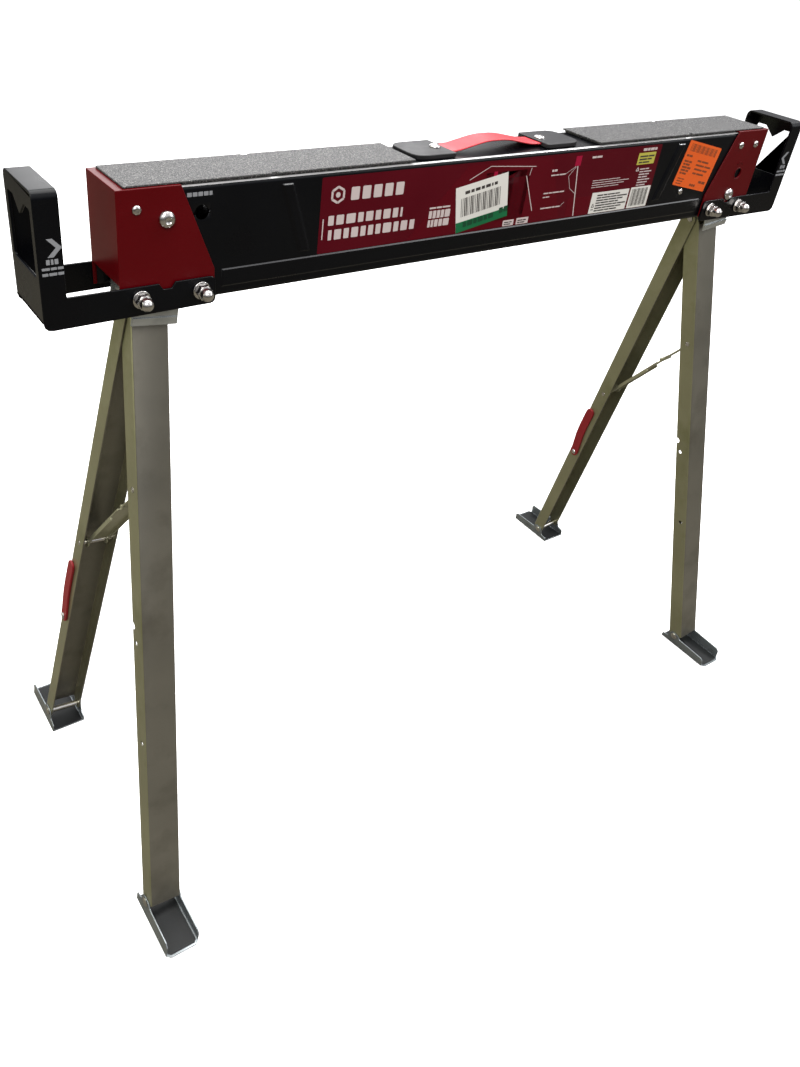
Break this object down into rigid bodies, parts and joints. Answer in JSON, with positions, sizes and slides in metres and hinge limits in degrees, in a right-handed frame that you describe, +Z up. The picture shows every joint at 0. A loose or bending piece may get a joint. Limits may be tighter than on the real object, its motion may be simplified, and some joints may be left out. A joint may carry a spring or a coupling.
{
  "type": "folding sawhorse",
  "caption": "Folding steel sawhorse: gritty beam, outboard cradle arms, carry strap, and splayed channel legs that close and fold up inside the beam.",
  "frame": {"origin": "on the floor under the middle of the beam", "axes": "+X along the beam, +Y away from the labelled side, +Z up"},
  "size_m": [1.02, 0.4688, 0.8195],
  "materials": {
    "black_steel": "gloss black powder coat",
    "red_steel": "gloss deep red powder coat",
    "zinc_steel": "dull zinc with a warm olive cast",
    "bright_zinc": "bright plated fasteners",
    "grit": "grey non-slip grit",
    "red_strap": "coral red flexible strap",
    "black_rubber": "dull black rubber mat"
  },
  "bodies": {
    "beam_assembly": {"beam": "black_steel", "grip_strip_left": "grit", "grip_strip_right": "grit", "end_cap_left": "red_steel", "end_cap_right": "red_steel", "support_arm_left": "black_steel", "support_arm_right": "black_steel", "arm_bolt_left_front_outer": "bright_zinc", "arm_bolt_left_front_inner": "bright_zinc", "arm_bolt_left_back_outer": "bright_zinc", "arm_bolt_left_back_inner": "bright_zinc", "arm_bolt_right_front_outer": "bright_zinc", "arm_bolt_right_front_inner": "bright_zinc", "arm_bolt_right_back_outer": "bright_zinc", "arm_bolt_right_back_inner": "bright_zinc", "cap_rivet_left_upper_front": "bright_zinc", "cap_rivet_right_outer_front": "bright_zinc", "cap_rivet_right_inner_front": "bright_zinc", "cap_rivet_left_upper_back": "bright_zinc", "cap_rivet_right_outer_back": "bright_zinc", "cap_rivet_right_inner_back": "bright_zinc", "handle_strap": "red_strap", "handle_cover_left": "black_steel", "handle_cover_right": "black_steel", "handle_screw_left": "bright_zinc", "handle_screw_right": "bright_zinc", "fold_pin_left": "bright_zinc", "fold_pin_right": "bright_zinc"},
    "hanger_left": {"hanger_left": "zinc_steel", "spread_pin_left": "bright_zinc"},
    "front_leg_left": {"front_leg_left": "zinc_steel", "upper_link_pin_left": "bright_zinc"},
    "back_leg_left": {"back_leg_left": "zinc_steel", "lower_link_pin_left": "bright_zinc", "peg_rivet_left": "bright_zinc"},
    "front_foot_left": {"front_foot_left": "zinc_steel", "front_foot_pin_left": "bright_zinc", "front_foot_mat_left": "black_rubber"},
    "back_foot_left": {"back_foot_left": "zinc_steel", "back_foot_pin_left": "bright_zinc", "back_foot_mat_left": "black_rubber"},
    "lower_link_left": {"lower_link_left": "zinc_steel"},
    "upper_link_left": {"upper_link_left": "zinc_steel"},
    "shelf_peg_left": {"shelf_peg_left": "red_steel"},
    "hanger_right": {"hanger_right": "zinc_steel", "spread_pin_right": "bright_zinc"},
    "front_leg_right": {"front_leg_right": "zinc_steel", "upper_link_pin_right": "bright_zinc"},
    "back_leg_right": {"back_leg_right": "zinc_steel", "lower_link_pin_right": "bright_zinc", "peg_rivet_right": "bright_zinc"},
    "front_foot_right": {"front_foot_right": "zinc_steel", "front_foot_pin_right": "bright_zinc", "front_foot_mat_right": "black_rubber"},
    "back_foot_right": {"back_foot_right": "zinc_steel", "back_foot_pin_right": "bright_zinc", "back_foot_mat_right": "black_rubber"},
    "lower_link_right": {"lower_link_right": "zinc_steel"},
    "upper_link_right": {"upper_link_right": "zinc_steel"},
    "shelf_peg_right": {"shelf_peg_right": "red_steel"}
  },
  "joints": [
    {"name": "fold_left", "type": "hinge", "parent": "beam_assembly", "child": "hanger_left", "pos_m": [-0.396, 0, 0.782], "axis": [0, -1, 0], "range_deg": [0, 96.35]},
    {"name": "front_leg_spread_left", "type": "hinge", "parent": "hanger_left", "child": "front_leg_left", "pos_m": [-0.40617, 0, 0.69063], "axis": [0.9939, 0, -0.1106], "range_deg": [0, 13.25]},
    {"name": "back_leg_spread_left", "type": "hinge", "parent": "hanger_left", "child": "back_leg_left", "pos_m": [-0.40617, 0, 0.69063], "axis": [-0.9939, 0, 0.1106], "range_deg": [0, 13.25]},
    {"name": "front_foot_swing_left", "type": "hinge", "parent": "front_leg_left", "child": "front_foot_left", "pos_m": [-0.481, -0.16744, 0.01819], "axis": [-0.9939, 0, 0.1106], "range_deg": [0, 103.91]},
    {"name": "back_foot_swing_left", "type": "hinge", "parent": "back_leg_left", "child": "back_foot_left", "pos_m": [-0.481, 0.16744, 0.01819], "axis": [0.9939, 0, -0.1106], "range_deg": [0, 103.91]},
    {"name": "lower_link_swing_left", "type": "hinge", "parent": "back_leg_left", "child": "lower_link_left", "pos_m": [-0.44198, 0.08218, 0.36887], "axis": [-0.9939, 0, 0.1106], "range_deg": [0, 25.71]},
    {"name": "upper_link_swing_left", "type": "hinge", "parent": "front_leg_left", "child": "upper_link_left", "pos_m": [-0.42523, -0.0447, 0.51938], "axis": [-0.9939, 0, 0.1106], "range_deg": [0, 54.58]},
    {"name": "peg_swing_left", "type": "hinge", "parent": "back_leg_left", "child": "shelf_peg_left", "pos_m": [-0.47765, 0.11678, 0.23635], "axis": [-0.9939, 0, 0.1106], "range_deg": [0, 180]},
    {"name": "fold_right", "type": "hinge", "parent": "beam_assembly", "child": "hanger_right", "pos_m": [0.399, 0, 0.7305], "axis": [0, 1, 0], "range_deg": [0, 96.35]},
    {"name": "front_leg_spread_right", "type": "hinge", "parent": "hanger_right", "child": "front_leg_right", "pos_m": [0.40344, 0, 0.69063], "axis": [0.9939, 0, 0.1106], "range_deg": [0, 13.25]},
    {"name": "back_leg_spread_right", "type": "hinge", "parent": "hanger_right", "child": "back_leg_right", "pos_m": [0.40344, 0, 0.69063], "axis": [-0.9939, 0, -0.1106], "range_deg": [0, 13.25]},
    {"name": "front_foot_swing_right", "type": "hinge", "parent": "front_leg_right", "child": "front_foot_right", "pos_m": [0.47827, -0.16744, 0.01819], "axis": [-0.9939, 0, -0.1106], "range_deg": [0, 103.91]},
    {"name": "back_foot_swing_right", "type": "hinge", "parent": "back_leg_right", "child": "back_foot_right", "pos_m": [0.47827, 0.16744, 0.01819], "axis": [0.9939, 0, 0.1106], "range_deg": [0, 103.91]},
    {"name": "lower_link_swing_right", "type": "hinge", "parent": "back_leg_right", "child": "lower_link_right", "pos_m": [0.43924, 0.08218, 0.36887], "axis": [-0.9939, 0, -0.1106], "range_deg": [0, 25.71]},
    {"name": "upper_link_swing_right", "type": "hinge", "parent": "front_leg_right", "child": "upper_link_right", "pos_m": [0.4225, -0.0447, 0.51938], "axis": [-0.9939, 0, -0.1106], "range_deg": [0, 54.58]},
    {"name": "peg_swing_right", "type": "hinge", "parent": "back_leg_right", "child": "shelf_peg_right", "pos_m": [0.43357, 0.11678, 0.23175], "axis": [-0.9939, 0, -0.1106], "range_deg": [0, 180]}
  ],
  "couplings": [
    {"joint": "front_leg_spread_left", "follows": "fold_left", "ratio": 0.13742},
    {"joint": "back_leg_spread_left", "follows": "fold_left", "ratio": 0.13742},
    {"joint": "front_foot_swing_left", "follows": "fold_left", "ratio": 1.0784},
    {"joint": "back_foot_swing_left", "follows": "fold_left", "ratio": 1.0784},
    {"joint": "lower_link_swing_left", "follows": "fold_left", "ratio": 0.26678},
    {"joint": "upper_link_swing_left", "follows": "fold_left", "ratio": 0.5664},
    {"joint": "front_leg_spread_right", "follows": "fold_right", "ratio": 0.13742},
    {"joint": "back_leg_spread_right", "follows": "fold_right", "ratio": 0.13742},
    {"joint": "front_foot_swing_right", "follows": "fold_right", "ratio": 1.0784},
    {"joint": "back_foot_swing_right", "follows": "fold_right", "ratio": 1.0784},
    {"joint": "lower_link_swing_right", "follows": "fold_right", "ratio": 0.26678},
    {"joint": "upper_link_swing_right", "follows": "fold_right", "ratio": 0.5664}
  ]
}
